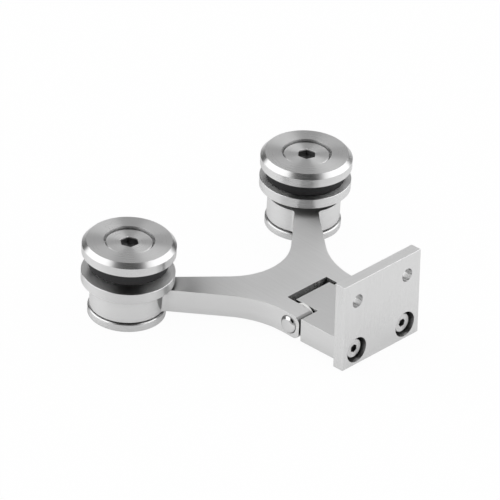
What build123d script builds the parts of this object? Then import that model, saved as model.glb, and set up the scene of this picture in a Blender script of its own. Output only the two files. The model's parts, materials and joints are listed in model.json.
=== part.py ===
"""Glass door hinge: a wall bracket and a two-armed door spider that carries two round glass fixings.

Frame: origin at the middle of the hinge pin, +X from the pin to the wall, Y along the pin,
+Z towards the side that carries the glass. All sizes are in millimetres.
"""
import os
from math import cos, radians, sin
from build123d import *

os.makedirs("parts", exist_ok=True)

# ---------------------------------------------------------------- driving dimensions
door_angle = 2.3            # the door side stands this many degrees up from square to the wall plate

# spider body: one flat plate with a fork at the pin and a round boss at the end of each arm
body_thickness = 16.0
fixing_reach = 94.0         # pin to the line through both fixings
fixing_spacing = 161.0      # between the two fixings
boss_radius = 24.0
body_edge = 0.1             # edge break round the body's outline
fork_width = 61.5
fork_end = 8.8              # how far the fork's ears reach past the pin
ear_rounding = 4.7
notch_width = 35.6
notch_depth = 14.2          # from the pin back to the bottom of the notch
web_reach = 44.8            # pin to the middle of the curve between the arms
web_radius = 43.0
inner_edge_angle = 40.4     # the arms' inner edges, measured from the Y axis
side_curve_radius = 56.0
side_curve_start = -3.5
outer_edge_angle = 39.5     # the arms' outer edges, measured from the X axis
boss_blend = 4.0

# hinge pin, its bush and thrust washers
pin_radius = 6.0
pin_end_rounding = 1.8
pin_hole_lead = 0.25        # bevel round the mouths of the pin's hole
fork_bulge = 0.2            # more than the fork's side curves out beyond its flat across the pin's hole
running_gap = 0.04
bush_wall = 1.0
washer_radius = 8.8
washer_side_gap = 0.05

# hinge block and wall plate
tongue_width = 30.1
tongue_end = 8.7
tongue_face_radius = 8.0    # raised round face that each thrust washer runs against
tongue_face_height = 0.95
block_width = 61.0
block_thickness = 16.0
shoulder = 10.3             # pin to the block's shoulders
block_edge = 0.1
plate_near = 42.5
plate_thickness = 8.0
plate_width = 69.0
plate_bottom = -10.4
plate_top = 49.8
plate_edge = 0.3
wall_hole_radius = 4.5
wall_hole_spacing = 45.0
wall_hole_height = 35.8
plate_screw_spacing = 44.0
screw_recess_radius = 8.6
screw_recess_depth = 6.5
plate_screw_radius = 4.0
plate_screw_head_radius = 6.5
plate_screw_head_height = 4.0
plate_screw_bevel = 0.5
plate_screw_reach = 26.0    # length under the head
block_screw_depth = 26.0
screw_clearance = 0.4
plate_screw_socket = 5.0
plate_screw_socket_depth = 2.6

# glass fixings, heights measured from the body's middle plane along the fixing's own axis
cap_bottom = 30.1
cap_thickness = 8.7
cap_radius = 30.0
cap_chamfer_height = 3.0
cap_chamfer_width = 2.75
cap_recess_radius = 16.3
cap_recess_depth = 6.5
screw_head_radius = 15.0
screw_head_height = 5.1
screw_head_rounding = 0.9
screw_radius = 6.0
screw_reach = 20.0          # length under the head
screw_socket = 10.0
screw_socket_depth = 4.2
screw_socket_lead = 0.5     # bevel round the socket's mouth
gasket_radius = 25.5
front_gasket_thickness = 6.0
back_gasket_thickness = 2.6
bush_radius = 12.5
bush_length = 9.2
stud_radius = 10.0
stud_bore_depth = 22.0
disc_radius = 29.9
disc_thickness = 6.8
disc_edge = 0.2
ring_radius = 25.0
ring_top = -9.3
ring_bottom = -14.2
ring_neck_radius = 21.5
ring_edge = 0.2
clear = 0.05                # between a stud and what is threaded or slid on it

# side name, its direction along Y, height of the disc's underside, turn of the cap screw's socket
fixings = (
    ("left", -1, 10.0, 24.0),
    ("right", 1, 14.1, 11.0),
)

# ---------------------------------------------------------------- planes
door = Plane.XY.rotated((0, door_angle, 0))
door_up = Axis(door.origin, door.z_dir)


def fixing_level(side, height):
    """A plane square to one fixing's axis, centred on that axis."""
    centre = door.from_local_coords((-fixing_reach, side * fixing_spacing / 2, height))
    return Plane(origin=centre, x_dir=door.x_dir, z_dir=door.z_dir)


def pin_station(y):
    """A plane square to the hinge pin at one place along it, facing +Y."""
    return Plane(origin=(0, y, 0), x_dir=(1, 0, 0), z_dir=(0, 1, 0))


def wall_station(x):
    """A plane parallel to the wall at one distance from the pin, facing the wall."""
    return Plane(origin=(x, 0, 0), x_dir=(0, 1, 0), z_dir=(1, 0, 0))


def save(piece, label):
    """Name a finished piece and write it under that name."""
    piece.label = label
    export_step(piece, f"parts/{label}.step")


# ---------------------------------------------------------------- spider body
half_fork = fork_width / 2
half_notch = notch_width / 2
boss_centre = Vector(-fixing_reach, fixing_spacing / 2)
other_boss_centre = Vector(-fixing_reach, -fixing_spacing / 2)

# the curve between the arms, and the straight inner edge that leaves it at a tangent
web_centre = -web_reach - web_radius
web_turn = radians(inner_edge_angle)
web_end = (web_centre + web_radius * cos(web_turn), web_radius * sin(web_turn))
web_middle = (web_centre + web_radius * cos(web_turn / 2), web_radius * sin(web_turn / 2))
inner_run = (boss_centre.Y - web_end[1]) / cos(web_turn)
inner_end = (web_end[0] - inner_run * sin(web_turn), boss_centre.Y)

# the curve from the fork's side out to the arm, and the straight outer edge after it
side_turn = radians(outer_edge_angle)
side_start = (side_curve_start, half_fork)
side_middle = (
    side_curve_start - side_curve_radius * sin(side_turn / 2),
    half_fork + side_curve_radius * (1 - cos(side_turn / 2)),
)
side_end = (
    side_curve_start - side_curve_radius * sin(side_turn),
    half_fork + side_curve_radius * (1 - cos(side_turn)),
)
outer_run = (side_end[0] - boss_centre.X) / cos(side_turn)
outer_end = (boss_centre.X, side_end[1] + outer_run * sin(side_turn))


def on_boss_rim(corner):
    """True for an outline corner where an arm's edge runs into a boss."""
    reach = min(
        (Vector(corner) - boss_centre).length,
        (Vector(corner) - other_boss_centre).length,
    )
    return abs(reach - boss_radius) < 0.01


with BuildPart() as spider_body:
    with BuildSketch(door) as outline:
        with BuildLine():
            ThreePointArc((-web_reach, 0), web_middle, web_end)
            Polyline(web_end, inner_end, outer_end, side_end)
            ThreePointArc(side_end, side_middle, side_start)
            Polyline(
                side_start,
                (fork_end, half_fork),
                (fork_end, half_notch),
                (-notch_depth, half_notch),
                (-notch_depth, 0),
                (-web_reach, 0),
            )
        make_face()
        with Locations(boss_centre):
            Circle(boss_radius)
        mirror(about=Plane.XZ)
        fillet(outline.vertices().filter_by(on_boss_rim), boss_blend)
    extrude(amount=body_thickness / 2, both=True)
    across = spider_body.edges().filter_by(Axis.Y)
    fillet(across.sort_by(Axis.X)[-4:], ear_rounding)
    # an edge break started on the boss rims runs on round the whole tangent outline
    rims = spider_body.edges().filter_by(GeomType.CIRCLE)
    rims = rims.filter_by(lambda rim: abs(rim.radius - boss_radius) < 0.01)
    chamfer(rims.filter_by(lambda rim: rim.length > boss_radius), body_edge)
    for level in (fixing_level(-1, -body_thickness / 2), fixing_level(1, -body_thickness / 2)):
        with BuildSketch(level):
            Circle(stud_radius + clear)
        extrude(amount=body_thickness, mode=Mode.SUBTRACT)
    # the pin's hole and its bevelled mouths are cut from outside the fork's curved sides
    hole_end = half_fork + fork_bulge
    with BuildSketch(pin_station(0)):
        Circle(pin_radius)
    extrude(amount=hole_end, both=True, mode=Mode.SUBTRACT)
    mouth_depth = fork_bulge + pin_hole_lead
    for station, inward in ((-hole_end, 1), (hole_end, -1)):
        with BuildSketch(pin_station(station)):
            Circle(pin_radius + mouth_depth)
        extrude(amount=inward * mouth_depth, taper=45, mode=Mode.SUBTRACT)
save(spider_body.part, "spider_body")

# ---------------------------------------------------------------- hinge pin, bush and washers
half_tongue = tongue_width / 2 + tongue_face_height

with BuildPart() as hinge_pin:
    with BuildSketch(pin_station(-half_fork)):
        Circle(pin_radius)
    extrude(amount=fork_width)
    fillet(hinge_pin.edges().filter_by(GeomType.CIRCLE), pin_end_rounding)
save(hinge_pin.part, "hinge_pin")

with BuildPart() as tongue_bush:
    with BuildSketch(pin_station(0)):
        Circle(pin_radius + bush_wall)
        Circle(pin_radius + running_gap, mode=Mode.SUBTRACT)
    extrude(amount=half_tongue, both=True)
save(tongue_bush.part, "tongue_bush")

washer_thickness = half_notch - half_tongue - washer_side_gap
for side_name, near_face in (("left", -half_tongue - washer_thickness), ("right", half_tongue)):
    with BuildPart() as thrust_washer:
        with BuildSketch(pin_station(near_face)):
            Circle(washer_radius)
            Circle(pin_radius + running_gap, mode=Mode.SUBTRACT)
        extrude(amount=washer_thickness)
    save(thrust_washer.part, f"{side_name}_thrust_washer")

# ---------------------------------------------------------------- hinge block
with BuildPart() as hinge_block:
    with BuildSketch(Plane.XY) as block_plan:
        with Locations(((shoulder + plate_near) / 2, 0)):
            Rectangle(plate_near - shoulder, block_width)
        with Locations(((shoulder - tongue_end) / 2, 0)):
            Rectangle(shoulder + tongue_end, tongue_width)
    extrude(amount=block_thickness / 2, both=True)
    faces_up_and_down = hinge_block.faces().filter_by(Axis.Z)
    free_edges = faces_up_and_down.edges().filter_by(lambda edge: edge.center().X < plate_near)
    chamfer(free_edges, block_edge)
    with BuildSketch(pin_station(0)):
        Circle(tongue_face_radius)
    extrude(amount=half_tongue, both=True)
    with BuildSketch(pin_station(0)):
        Circle(pin_radius + bush_wall)
    extrude(amount=half_tongue, both=True, mode=Mode.SUBTRACT)
    with BuildSketch(wall_station(plate_near)):
        with GridLocations(plate_screw_spacing, 0, 2, 1):
            Circle(plate_screw_radius)
    extrude(amount=-block_screw_depth, mode=Mode.SUBTRACT)
save(hinge_block.part, "hinge_block")

# ---------------------------------------------------------------- wall plate
with BuildPart() as wall_plate:
    with BuildSketch(wall_station(plate_near)):
        with Locations((0, (plate_bottom + plate_top) / 2)):
            Rectangle(plate_width, plate_top - plate_bottom)
    extrude(amount=plate_thickness)
    fillet(wall_plate.edges(), plate_edge)
    with BuildSketch(wall_station(plate_near)):
        with Locations((0, wall_hole_height)):
            with GridLocations(wall_hole_spacing, 0, 2, 1):
                Circle(wall_hole_radius)
        with GridLocations(plate_screw_spacing, 0, 2, 1):
            Circle(plate_screw_radius + screw_clearance)
    extrude(amount=plate_thickness, mode=Mode.SUBTRACT)
    with BuildSketch(wall_station(plate_near + plate_thickness)):
        with GridLocations(plate_screw_spacing, 0, 2, 1):
            Circle(screw_recess_radius)
    extrude(amount=-screw_recess_depth, mode=Mode.SUBTRACT)
save(wall_plate.part, "wall_plate")

seat = plate_near + plate_thickness - screw_recess_depth
for side_name, side, socket_turn in (("left", -1, 30), ("right", 1, 5)):
    with BuildPart() as plate_screw:
        with BuildSketch(wall_station(seat)):
            with Locations((side * plate_screw_spacing / 2, 0)):
                Circle(plate_screw_head_radius)
        extrude(amount=plate_screw_head_height)
        chamfer(plate_screw.edges().group_by(Axis.X)[-1], plate_screw_bevel)
        with BuildSketch(wall_station(seat)):
            with Locations((side * plate_screw_spacing / 2, 0)):
                Circle(plate_screw_radius)
        extrude(amount=-plate_screw_reach)
        with BuildSketch(wall_station(seat + plate_screw_head_height)):
            with Locations((side * plate_screw_spacing / 2, 0)):
                RegularPolygon(plate_screw_socket / 2, 6, major_radius=False, rotation=socket_turn)
        extrude(amount=-plate_screw_socket_depth, mode=Mode.SUBTRACT)
    save(plate_screw.part, f"{side_name}_plate_screw")

# ---------------------------------------------------------------- glass fixings, one on each boss
cap_top = cap_bottom + cap_thickness
screw_seat = cap_top - cap_recess_depth
for side_name, side, disc_bottom, socket_turn in fixings:
    disc_top = disc_bottom + disc_thickness
    gasket_split = cap_bottom - front_gasket_thickness

    with BuildPart() as stud:
        with BuildSketch(fixing_level(side, ring_bottom)):
            Circle(stud_radius)
        extrude(amount=cap_bottom - ring_bottom)
        with BuildSketch(fixing_level(side, cap_bottom)):
            Circle(screw_radius + clear)
        extrude(amount=-stud_bore_depth, mode=Mode.SUBTRACT)
    save(stud.part, f"{side_name}_stud")

    with BuildPart() as back_ring:
        with BuildSketch(fixing_level(side, ring_bottom)):
            Circle(ring_radius)
        extrude(amount=ring_top - ring_bottom)
        chamfer(back_ring.edges(), ring_edge)
        with BuildSketch(fixing_level(side, ring_top)):
            Circle(ring_neck_radius)
        extrude(amount=-body_thickness / 2 - ring_top)
        with BuildSketch(fixing_level(side, ring_bottom)):
            Circle(stud_radius + clear)
        extrude(amount=-body_thickness / 2 - ring_bottom, mode=Mode.SUBTRACT)
    save(back_ring.part, f"{side_name}_back_ring")

    with BuildPart() as disc:
        with BuildSketch(fixing_level(side, disc_bottom)):
            Circle(disc_radius)
        extrude(amount=disc_thickness)
        chamfer(disc.edges().filter_by(GeomType.CIRCLE), disc_edge)
        with BuildSketch(fixing_level(side, disc_bottom)):
            Circle(stud_radius + clear)
        extrude(amount=disc_thickness, mode=Mode.SUBTRACT)
    save(disc.part, f"{side_name}_disc")

    with BuildPart() as glass_bush:
        with BuildSketch(fixing_level(side, cap_bottom)):
            Circle(bush_radius)
            Circle(stud_radius + clear, mode=Mode.SUBTRACT)
        extrude(amount=-bush_length)
    save(glass_bush.part, f"{side_name}_glass_bush")

    for name, top, thickness in (
        ("front_gasket", cap_bottom, front_gasket_thickness),
        ("back_gasket", gasket_split, back_gasket_thickness),
    ):
        with BuildPart() as gasket:
            with BuildSketch(fixing_level(side, top)):
                Circle(gasket_radius)
                Circle(bush_radius, mode=Mode.SUBTRACT)
            extrude(amount=-thickness)
        save(gasket.part, f"{side_name}_{name}")

    with BuildPart() as cap:
        with BuildSketch(fixing_level(side, cap_bottom)):
            Circle(cap_radius)
        extrude(amount=cap_thickness)
        cap_rim = cap.faces().sort_by(door_up)[-1]
        chamfer(cap_rim.edges(), cap_chamfer_width, cap_chamfer_height, reference=cap_rim)
        with BuildSketch(fixing_level(side, cap_top)):
            Circle(cap_recess_radius)
        extrude(amount=-cap_recess_depth, mode=Mode.SUBTRACT)
        with BuildSketch(fixing_level(side, cap_bottom)):
            Circle(screw_radius + screw_clearance)
        extrude(amount=cap_thickness, mode=Mode.SUBTRACT)
    save(cap.part, f"{side_name}_cap")

    with BuildPart() as cap_screw:
        with BuildSketch(fixing_level(side, screw_seat)):
            Circle(screw_head_radius)
        extrude(amount=screw_head_height)
        fillet(cap_screw.edges().group_by(door_up)[-1], screw_head_rounding)
        with BuildSketch(fixing_level(side, screw_seat)):
            Circle(screw_radius)
        extrude(amount=-screw_reach)
        with BuildSketch(fixing_level(side, screw_seat + screw_head_height)):
            RegularPolygon(screw_socket / 2, 6, major_radius=False, rotation=socket_turn)
        extrude(amount=-screw_socket_depth, mode=Mode.SUBTRACT)
        socket_mouth = cap_screw.edges().group_by(door_up)[-1].filter_by(GeomType.LINE)
        chamfer(socket_mouth, screw_socket_lead)
    save(cap_screw.part, f"{side_name}_cap_screw")
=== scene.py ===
"""Glass door hinge: finishes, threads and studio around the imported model. All lengths are in metres."""

import json
from math import cos, pi, radians, sin

import bmesh
import bpy
from mathutils import Matrix, Vector


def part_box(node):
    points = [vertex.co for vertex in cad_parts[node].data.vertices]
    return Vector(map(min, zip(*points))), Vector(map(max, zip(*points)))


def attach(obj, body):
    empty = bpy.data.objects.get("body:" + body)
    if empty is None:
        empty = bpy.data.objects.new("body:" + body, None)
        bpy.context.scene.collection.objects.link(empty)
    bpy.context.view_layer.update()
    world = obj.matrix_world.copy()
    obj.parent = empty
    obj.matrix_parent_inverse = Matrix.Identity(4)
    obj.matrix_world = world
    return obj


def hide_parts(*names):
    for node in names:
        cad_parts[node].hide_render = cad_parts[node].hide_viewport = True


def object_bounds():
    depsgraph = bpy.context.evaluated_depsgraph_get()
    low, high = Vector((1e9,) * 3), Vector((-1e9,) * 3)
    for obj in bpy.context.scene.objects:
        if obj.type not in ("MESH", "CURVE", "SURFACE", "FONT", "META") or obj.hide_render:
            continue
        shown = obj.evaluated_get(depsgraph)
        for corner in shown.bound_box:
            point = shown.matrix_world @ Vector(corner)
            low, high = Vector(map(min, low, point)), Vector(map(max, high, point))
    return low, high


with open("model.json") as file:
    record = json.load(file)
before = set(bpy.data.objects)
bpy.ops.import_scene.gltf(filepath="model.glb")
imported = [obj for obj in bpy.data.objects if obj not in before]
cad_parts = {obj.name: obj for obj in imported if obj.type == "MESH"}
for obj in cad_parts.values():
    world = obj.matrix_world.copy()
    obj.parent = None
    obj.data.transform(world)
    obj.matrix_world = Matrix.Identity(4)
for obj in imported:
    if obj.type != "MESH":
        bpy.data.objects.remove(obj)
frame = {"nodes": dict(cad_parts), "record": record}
cad_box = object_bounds()
mounts = {mount["name"]: mount for mount in frame["record"]["mounts"]}

# ---------------------------------------------------------------- wall plate
# A flat plate that two bolts hold to the wall. It is cut from stainless steel bar and ground upright on
# a belt, which leaves a fine straight grain on its faces and along its edges.


def add_node(tree, kind, inputs=None, **settings):
    """Add one shader node, set it up, and feed its inputs with values or with other nodes' outputs."""
    made = tree.nodes.new(kind)
    for name, value in settings.items():
        setattr(made, name, value)
    for name, value in (inputs or {}).items():
        if isinstance(value, bpy.types.NodeSocket):
            tree.links.new(value, made.inputs[name])
        else:
            made.inputs[name].default_value = value
    return made


def calculate(tree, operation, first, second=0.0):
    """The number that one step of arithmetic gives."""
    return add_node(tree, "ShaderNodeMath", {0: first, 1: second}, operation=operation).outputs[0]


def calculate_vector(tree, operation, first, second=(0, 0, 0)):
    """What one step of vector arithmetic gives: a number for a dot product or a length, else a vector."""
    made = add_node(tree, "ShaderNodeVectorMath", {0: first, 1: second}, operation=operation)
    return made.outputs["Value" if operation in ("DOT_PRODUCT", "LENGTH") else "Vector"]


def spread(tree, value, low, high):
    """A pattern's 0 to 1, spread over another range."""
    made = add_node(tree, "ShaderNodeMapRange", {"Value": value, "To Min": low, "To Max": high})
    return made.outputs["Result"]


def new_material(name, **sockets):
    """A material with one Principled shader, whose fixed values are given by socket name."""
    material = bpy.data.materials.new(name)
    material.use_nodes = True
    tree = material.node_tree
    shader = tree.nodes["Principled BSDF"]
    for socket, value in sockets.items():
        shader.inputs[socket.replace("_", " ")].default_value = value
    return material, tree, shader, add_node(tree, "ShaderNodeTexCoord")


def gap_shade(tree, low=0.2, high=0.5, darkest=0.1, lift=0.0):
    """Painted shade: 1 on open surfaces, falling to the darkest where others stand close in front, as in
    slots.
    """
    open_share = add_node(tree, "ShaderNodeAmbientOcclusion", {"Distance": 0.01}, samples=12).outputs["AO"]
    return add_node(tree, "ShaderNodeMapRange", {
        "Value": calculate(tree, "ADD", open_share, lift),
        "From Min": low, "From Max": high, "To Min": darkest, "To Max": 1.0,
    }, interpolation_type="SMOOTHSTEP").outputs["Result"]


def cut_grain(tree, shader, here, pattern, groove, roughness, painted_shade=1.0, bright=0.705):
    """Give a steel shader its grain: fine grooves along the groove vector, over faint handling marks."""
    fine = add_node(
        tree, "ShaderNodeTexNoise",
        {"Vector": pattern, "Scale": 1.0, "Detail": 3.0, "Roughness": 0.6},
    ).outputs["Fac"]
    coarse = add_node(
        tree, "ShaderNodeTexNoise", {"Vector": pattern, "Scale": 0.22, "Detail": 1.0, "Roughness": 0.5}
    ).outputs["Fac"]
    streaks = calculate(tree, "ADD", spread(tree, fine, -0.05, 0.05), spread(tree, coarse, -0.025, 0.025))
    # the tone is darkened by the painted shade given
    tone = calculate(tree, "MULTIPLY", calculate(tree, "ADD", streaks, bright), painted_shade)
    colour = add_node(tree, "ShaderNodeCombineColor", {"Red": tone, "Green": tone, "Blue": tone})
    marks = add_node(
        tree, "ShaderNodeTexNoise", {"Vector": here.outputs["Object"], "Scale": 45.0, "Detail": 2.0}
    ).outputs["Fac"]
    uneven = calculate(tree, "ADD", spread(tree, fine, -0.02, 0.02), spread(tree, marks, -0.02, 0.02))
    gloss = calculate(tree, "ADD", roughness, uneven)
    relief = add_node(tree, "ShaderNodeBump", {"Height": fine, "Strength": 1.0, "Distance": 0.0000008})
    turned = add_node(
        tree, "ShaderNodeVectorTransform", {"Vector": groove},
        vector_type="VECTOR", convert_from="OBJECT", convert_to="WORLD",
    )
    tree.links.new(colour.outputs["Color"], shader.inputs["Base Color"])
    tree.links.new(gloss, shader.inputs["Roughness"])
    tree.links.new(relief.outputs["Normal"], shader.inputs["Normal"])
    tree.links.new(turned.outputs["Vector"], shader.inputs["Tangent"])


grain_fineness = 3500.0


def ground_steel(name, level_grain, upright_sides, side_roughness, level_roughness, bright):
    """Belt-ground stainless steel. Level faces have one grain; the sides' runs upright or round them."""
    material, tree, shader, here = new_material(
        name, Metallic=1.0, Anisotropic=1.0, Anisotropic_Rotation=0.25
    )
    normal = here.outputs["Normal"]
    tilt = calculate(tree, "ABSOLUTE", calculate_vector(tree, "DOT_PRODUCT", normal, (0, 0, 1)))
    side_grain = (0, 0, 1)
    if not upright_sides:
        level_line = calculate_vector(tree, "CROSS_PRODUCT", (0, 0, 1), normal)
        side_grain = calculate_vector(tree, "NORMALIZE", level_line)
    level = calculate(tree, "GREATER_THAN", tilt, 0.5)
    choose = add_node(tree, "ShaderNodeMix", data_type="VECTOR")
    tree.links.new(level, choose.inputs[0])
    if upright_sides:
        choose.inputs[4].default_value = side_grain
    else:
        tree.links.new(side_grain, choose.inputs[4])
    choose.inputs[5].default_value = level_grain
    groove = choose.outputs[1]
    along = calculate_vector(tree, "DOT_PRODUCT", here.outputs["Object"], groove)
    crosswise = calculate_vector(tree, "CROSS_PRODUCT", groove, normal)
    across = calculate_vector(tree, "DOT_PRODUCT", here.outputs["Object"], crosswise)
    pattern = add_node(tree, "ShaderNodeCombineXYZ", {
        "X": calculate(tree, "MULTIPLY", along, 60.0),
        "Y": calculate(tree, "MULTIPLY", across, grain_fineness),
    }).outputs["Vector"]
    place = add_node(tree, "ShaderNodeSeparateXYZ", {"Vector": here.outputs["Object"]})
    if upright_sides:
        # painted shade: the screws' recesses are painted darker inside than the open bolt holes above them
        height = place.outputs["Z"]
        above = calculate(tree, "MULTIPLY", calculate(tree, "GREATER_THAN", height, 0.02), 0.25)
        painted_shade = gap_shade(tree, 0.4, 0.75, 0.2, lift=above)
    else:
        # painted shade darkens the slot round the knuckle, and more mildly the arms under the discs
        painted_shade = add_node(tree, "ShaderNodeMix", {
            0: calculate(tree, "LESS_THAN", place.outputs["X"], -0.02),
            2: gap_shade(tree), 3: gap_shade(tree, 0.35, 0.95, 0.4),
        }).outputs[0]
        # painted shade darkens the fork's rounded ends, for the dark reflection they show
        slope = calculate_vector(tree, "DOT_PRODUCT", normal, (cos(radians(45)), 0, sin(radians(45))))
        painted_end_shade = add_node(tree, "ShaderNodeMapRange", {
            "Value": slope, "From Min": 0.87, "From Max": 0.98, "To Min": 1.0, "To Max": 0.4,
        }, interpolation_type="SMOOTHSTEP").outputs["Result"]
        painted_shade = calculate(tree, "MULTIPLY", painted_shade, painted_end_shade)
        # painted shade: the cut sides are painted darker towards the underside
        low_side = add_node(tree, "ShaderNodeMapRange", {
            "Value": place.outputs["Z"],
            "From Min": -0.009, "From Max": -0.001, "To Min": 0.93, "To Max": 1.0,
        }).outputs["Result"]
        painted_shade = calculate(tree, "MULTIPLY", painted_shade, calculate(tree, "MAXIMUM", low_side, level))
    roughness = spread(tree, level, side_roughness, level_roughness)
    cut_grain(tree, shader, here, pattern, groove, roughness, painted_shade, bright)
    return material


def dress(node, material):
    """Put one material on a CAD node."""
    for slot in frame["nodes"][node].material_slots:
        slot.material = material


dress("wall_plate", ground_steel("upright_ground_steel", (0, 1, 0), True, 0.27, 0.29, 0.755))

# ---------------------------------------------------------------- hinge block and spider body
# The block that the plate is screwed to, and the two-armed spider that swings on it. Both are cut from
# 16 mm stainless steel plate and ground along the hinge's length; their cut sides are ground level.

dress("hinge_block", ground_steel("ground_block_steel", (1, 0, 0), False, 0.24, 0.34, 0.705))
dress("spider_body", ground_steel("ground_spider_steel", (1, 0, 0), False, 0.24, 0.40, 0.735))

# ---------------------------------------------------------------- plate screws and hinge pin
# Socket screws that hold the plate to the block, and the pin that the door side turns on. They are
# turned from stainless steel bar, which leaves rings round their axes.


def turned_steel(name, centre, axis, socket=None, grained=1.0, roughness=0.28):
    """Stainless steel as a lathe leaves it: fine grooves in rings round an axis.

    The socket is the reach of a screw's hexagon and the height of its mouth, measured from the centre.
    """
    material, tree, shader, here = new_material(
        name, Metallic=1.0, Anisotropic=grained, Anisotropic_Rotation=0.25
    )
    offset = calculate_vector(tree, "SUBTRACT", here.outputs["Object"], centre)
    groove = calculate_vector(tree, "CROSS_PRODUCT", axis, offset)
    reach = calculate_vector(tree, "LENGTH", groove)
    height = calculate_vector(tree, "DOT_PRODUCT", axis, offset)
    cut = calculate(tree, "MULTIPLY", calculate(tree, "SUBTRACT", reach, height), grain_fineness)
    bearing = calculate_vector(tree, "NORMALIZE", groove)
    pattern = calculate_vector(
        tree, "ADD", bearing, add_node(tree, "ShaderNodeCombineXYZ", {"X": cut}).outputs["Vector"]
    )
    painted_shade = 1.0
    if socket:
        # the socket is punched rather than turned, and painted shade darkens it inside
        inside = calculate(tree, "MULTIPLY", calculate(tree, "LESS_THAN", reach, socket[0]),
                           calculate(tree, "LESS_THAN", height, socket[1]))
        painted_shade = spread(tree, inside, 1.0, 0.2)
    cut_grain(tree, shader, here, pattern, groove, roughness, painted_shade)
    return material


for node in ("left_plate_screw", "right_plate_screw"):
    low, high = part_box(node)
    dress(node, turned_steel(f"turned_{node}", (low + high) / 2, (1, 0, 0), socket=(0.0031, 0.0145)))


def turn_profile(profile, edge=0.0):
    """A solid of revolution about Z from (radius, height) points, its corners eased by the edge given."""
    shape = bmesh.new()
    points = [shape.verts.new((radius, 0, height)) for radius, height in profile]
    lines = [shape.edges.new(pair) for pair in zip(points, points[1:])]
    bmesh.ops.spin(
        shape, geom=points + lines, cent=(0, 0, 0), axis=(0, 0, 1), angle=2 * pi, steps=128, use_merge=True
    )
    bmesh.ops.remove_doubles(shape, verts=shape.verts, dist=0.000001)
    if edge:
        corners = [line for line in shape.edges if line.calc_face_angle(0) > radians(25)]
        bmesh.ops.bevel(
            shape, geom=corners, offset=edge, segments=2, profile=0.5, affect="EDGES", material=-1
        )
    return shape


def place_piece(name, shape, position, axis, node, body, material):
    """Put a shape modelled about Z on its axis, as the piece that stands for a CAD node."""
    turn = Vector((0, 0, 1)).rotation_difference(Vector(axis)).to_matrix().to_4x4()
    bmesh.ops.transform(shape, matrix=Matrix.Translation(position) @ turn, verts=shape.verts)
    bmesh.ops.recalc_face_normals(shape, faces=shape.faces)
    mesh = bpy.data.meshes.new(name)
    shape.to_mesh(mesh)
    shape.free()
    mesh.polygons.foreach_set("use_smooth", [True] * len(mesh.polygons))
    mesh.set_sharp_from_angle(angle=radians(25))
    mesh.materials.append(material)
    piece = bpy.data.objects.new(name, mesh)
    bpy.context.scene.collection.objects.link(piece)
    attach(piece, body)
    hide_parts(node)


pin_low, pin_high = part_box("hinge_pin")
pin_radius = (pin_high.z - pin_low.z) / 2
pin_end = pin_high.y + 0.0023
pin_rounding = 0.0028
crown = 0.0003
end_profile = [(0, pin_end)] + [
    (pin_radius - pin_rounding * (1 - sin(radians(angle))),
     pin_end - crown - pin_rounding * (1 - cos(radians(angle))))
    for angle in range(6, 91, 7)
]
pin_shape = turn_profile(end_profile + [(radius, -height) for radius, height in reversed(end_profile)])
pin_steel = turned_steel("turned_hinge_pin", (0, 0, 0), (0, 1, 0), grained=0.2, roughness=0.12)
place_piece("domed_hinge_pin", pin_shape, (0, 0, 0), (0, 1, 0), "hinge_pin", "door_side", pin_steel)

# ---------------------------------------------------------------- bush and thrust washers
# The bush that the pin turns in and a washer on each side of the block's tongue. They are turned from
# natural nylon and pressed or slipped into place.


def moulded(name, colour, roughness, relief_scale, relief_depth):
    """A plain plastic or rubber with a faint moulded texture and a slightly uneven gloss."""
    material, tree, shader, here = new_material(name)
    texture = add_node(
        tree, "ShaderNodeTexNoise",
        {"Vector": here.outputs["Object"], "Scale": relief_scale, "Detail": 3.0},
    ).outputs["Fac"]
    tone = add_node(tree, "ShaderNodeMix", data_type="RGBA")
    tree.links.new(texture, tone.inputs[0])
    tone.inputs[6].default_value = (*[0.85 * value for value in colour], 1)
    tone.inputs[7].default_value = (*[1.15 * value for value in colour], 1)
    relief = add_node(
        tree, "ShaderNodeBump", {"Height": texture, "Strength": 1.0, "Distance": relief_depth}
    )
    tree.links.new(tone.outputs[2], shader.inputs["Base Color"])
    tree.links.new(spread(tree, texture, *roughness), shader.inputs["Roughness"])
    tree.links.new(relief.outputs["Normal"], shader.inputs["Normal"])
    return material


natural_nylon = moulded("natural_nylon", (0.82, 0.82, 0.81), (0.35, 0.45), 900.0, 0.00001)
for node in ("tongue_bush", "left_thrust_washer", "right_thrust_washer"):
    dress(node, natural_nylon)

# ---------------------------------------------------------------- glass fixings
# A fixing on each boss: a stud with a ring and a disc on its thread, then the bush, the two gaskets
# that the glass goes between, the cap and its screw. Steel parts are turned; the gaskets are rubber.

black_rubber = moulded("black_rubber", (0.011, 0.011, 0.012), (0.60, 0.75), 1400.0, 0.00002)
black_nylon = moulded("black_nylon", (0.035, 0.035, 0.035), (0.35, 0.45), 900.0, 0.00001)

# heights along a fixing are measured from the glass's front face
ring_radius, neck_radius, ring_bore = 0.025, 0.0215, 0.01005
ring_low, neck_high = -0.0383, -0.0321
ring_heights = {"left": -0.0330, "right": -0.0334}
ring_chamfer = 0.0006
stud_low, stud_high = -0.0383, 0.006
thread_pitch, thread_steps = 0.0015, 36
crest_radius, root_radius = 0.010, 0.00908
bore_radius, bore_depth = 0.00605, 0.022


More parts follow.
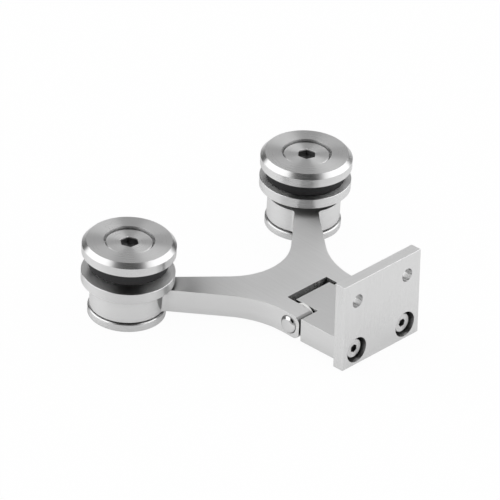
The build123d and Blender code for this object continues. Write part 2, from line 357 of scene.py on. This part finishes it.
def threaded_stud():
    """A stud with a 60 degree thread: one pitch of its profile, swept up a helix and cut off square."""
    shape = bmesh.new()
    profile = [
        (root_radius, 0.0), (root_radius, 0.25), (crest_radius, 0.5625), (crest_radius, 0.6875),
        (root_radius, 1.0),
    ]
    points = [
        shape.verts.new((radius, 0, stud_low + (share - 2) * thread_pitch)) for radius, share in profile
    ]
    lines = [shape.edges.new(pair) for pair in zip(points, points[1:])]
    turns = round((stud_high - stud_low) / thread_pitch) + 4
    bmesh.ops.spin(
        shape, geom=points + lines, cent=(0, 0, 0), axis=(0, 0, 1), angle=2 * pi * turns,
        steps=thread_steps * turns, dvec=(0, 0, thread_pitch / thread_steps),
    )
    bmesh.ops.remove_doubles(shape, verts=shape.verts, dist=0.000005)
    for height, outward in ((stud_low, -1), (stud_high, 1)):
        bmesh.ops.bisect_plane(
            shape, geom=shape.verts[:] + shape.edges[:] + shape.faces[:], plane_co=(0, 0, height),
            plane_no=(0, 0, outward), clear_outer=True,
        )
    foot = [line for line in shape.edges if line.is_boundary and line.verts[0].co.z < 0]
    bmesh.ops.contextual_create(shape, geom=foot)
    mouth = [line for line in shape.edges if line.is_boundary]
    bore = bmesh.ops.create_circle(
        shape, segments=64, radius=bore_radius, matrix=Matrix.Translation((0, 0, stud_high))
    )["verts"]
    rim = list({line for point in bore for line in point.link_edges})
    bmesh.ops.bridge_loops(shape, edges=mouth + rim)
    wall = bmesh.ops.extrude_edge_only(shape, edges=rim)["geom"]
    bottom = [part for part in wall if isinstance(part, bmesh.types.BMVert)]
    bmesh.ops.translate(shape, verts=bottom, vec=(0, 0, -bore_depth))
    bmesh.ops.contextual_create(shape, geom=[
        part for part in wall if isinstance(part, bmesh.types.BMEdge) and part.is_boundary
    ])
    return shape


for side in ("left", "right"):
    clamp = mounts[f"{side}_glass_clamp"]
    seat = (clamp["pos_m"], clamp["axis"])
    lathe_steel = turned_steel(f"turned_{side}_fixing", clamp["pos_m"], clamp["axis"])
    for piece in ("disc", "cap"):
        dress(f"{side}_{piece}", lathe_steel)
    place_piece(f"{side}_threaded_stud", threaded_stud(), *seat, f"{side}_stud", "door_side", lathe_steel)
    ring_high = ring_heights[side]
    ring = turn_profile([
        (ring_bore, ring_low), (ring_radius, ring_low), (ring_radius, ring_high - ring_chamfer),
        (ring_radius - ring_chamfer, ring_high), (neck_radius, ring_high),
        (neck_radius, neck_high), (ring_bore, neck_high), (ring_bore, ring_low),
    ], edge=0.0001)
    place_piece(f"{side}_chamfered_ring", ring, *seat, f"{side}_back_ring", "door_side", lathe_steel)
    screw_steel = turned_steel(f"turned_{side}_cap_screw", *seat, socket=(0.006, 0.01325))
    dress(f"{side}_cap_screw", screw_steel)
    for piece in ("front_gasket", "back_gasket"):
        dress(f"{side}_{piece}", black_rubber)
    dress(f"{side}_glass_bush", black_nylon)

# ---------------------------------------------------------------- studio
# A white table between two softboxes, with black flags that give the polished steel its dark bands. The
# camera and the steel see a white background; the table keeps the hinge's shadow.

floor_shape = bmesh.new()
bmesh.ops.create_grid(floor_shape, x_segments=1, y_segments=1, size=6.0)
bmesh.ops.translate(floor_shape, verts=floor_shape.verts, vec=(0, 0, cad_box[0].z))
floor_mesh = bpy.data.meshes.new("floor")
floor_shape.to_mesh(floor_mesh)
floor_shape.free()
floor = bpy.data.objects.new("floor", floor_mesh)
bpy.context.scene.collection.objects.link(floor)

white_table, tree, shader, here = new_material("white_table", Base_Color=(0.9, 0.9, 0.9, 1), Roughness=0.9)
glow = add_node(tree, "ShaderNodeEmission", {"Strength": 1.0})
rays = add_node(tree, "ShaderNodeLightPath")
mirrored = calculate(tree, "MAXIMUM", rays.outputs["Is Glossy Ray"], rays.outputs["Is Transmission Ray"])
seen = calculate(tree, "ADD", calculate(tree, "MULTIPLY", rays.outputs["Is Camera Ray"], 0.96),
                 calculate(tree, "MULTIPLY", mirrored, 0.42))
mixed = add_node(tree, "ShaderNodeMixShader", {0: seen, 1: shader.outputs[0], 2: glow.outputs[0]})
# painted shade: in second and later reflections the table shows darker, which darkens the deep gaps in the
# steel
deep = calculate(tree, "MULTIPLY", calculate(tree, "GREATER_THAN", rays.outputs["Glossy Depth"], 1.5), 0.6)
mixed = add_node(tree, "ShaderNodeMixShader", {0: deep, 1: mixed.outputs[0]})
tree.links.new(mixed.outputs[0], tree.nodes["Material Output"].inputs["Surface"])
floor_mesh.materials.append(white_table)
white_table.cycles.emission_sampling = "NONE"
floor.visible_shadow = False

camera_azimuth = radians(43.706)
camera_elevation = 30.756


def bearing_from_camera(azimuth, elevation):
    """The direction that lies this many degrees round from the camera, and above the table."""
    turn = camera_azimuth + radians(azimuth)
    rise = radians(elevation)
    return Vector((sin(turn) * cos(rise), -cos(turn) * cos(rise), sin(rise)))


world = bpy.data.worlds.new("studio")
bpy.context.scene.world = world
world.use_nodes = True
tree = world.node_tree
direction = add_node(tree, "ShaderNodeTexCoord").outputs["Generated"]


def hang_panel(light, azimuth, elevation, reach, strength, softness=6):
    """The light with one more soft-edged round panel in it. A black flag takes light away instead."""
    facing = calculate_vector(tree, "DOT_PRODUCT", direction, bearing_from_camera(azimuth, elevation))
    panel = add_node(tree, "ShaderNodeMapRange", {
        "Value": facing,
        "From Min": cos(radians(reach + softness)), "From Max": cos(radians(reach - softness)),
        "To Min": 0.0, "To Max": strength,
    }, interpolation_type="SMOOTHSTEP").outputs["Result"]
    return calculate(tree, "ADD", light, panel)


room_light = 0.5
light = room_light
# a large softbox on each side whitens the caps' bevels to the left and right
light = hang_panel(light, -90, 35, 35, 1.2)
light = hang_panel(light, 105, 40, 35, 1.3)
# a black flag over the camera darkens the front of the bevels, and one low on each side their far ends
light = hang_panel(light, 10, 50, 30, -0.5)
light = hang_panel(light, -140, 10, 20, -0.5)
light = hang_panel(light, 140, 5, 15, -0.5)
light = calculate(tree, "MAXIMUM", light, 0.0)
rays = add_node(tree, "ShaderNodeLightPath")
twice = calculate(tree, "GREATER_THAN", rays.outputs["Glossy Depth"], 1.5)
light = calculate(tree, "MULTIPLY", light, spread(tree, twice, 1.0, 0.85))
level = add_node(tree, "ShaderNodeMix", {0: rays.outputs["Is Glossy Ray"], 2: 1.0, 3: light}).outputs[0]
tree.links.new(level, tree.nodes["Background"].inputs["Strength"])
tree.nodes["Background"].inputs["Color"].default_value = (1, 1, 1, 1)
world.cycles.sampling_method = "NONE"

camera_roll = radians(1.289)
camera_distance = 3.3071
aim_right = -0.045727
aim_up = 0.035755
away = bearing_from_camera(0, camera_elevation)
level_right = Vector((cos(camera_azimuth), sin(camera_azimuth), 0))
level_up = away.cross(level_right)
right = cos(camera_roll) * level_right + sin(camera_roll) * level_up
up = cos(camera_roll) * level_up - sin(camera_roll) * level_right
camera = bpy.data.objects.new("camera", bpy.data.cameras.new("camera"))
camera.data.lens = 377.0
camera.matrix_world = Matrix.Translation(
    away * camera_distance + right * aim_right + up * aim_up
) @ Matrix((right, up, away)).transposed().to_4x4()
bpy.context.scene.collection.objects.link(camera)
bpy.context.scene.camera = camera
bpy.context.scene.view_settings.view_transform = "Standard"
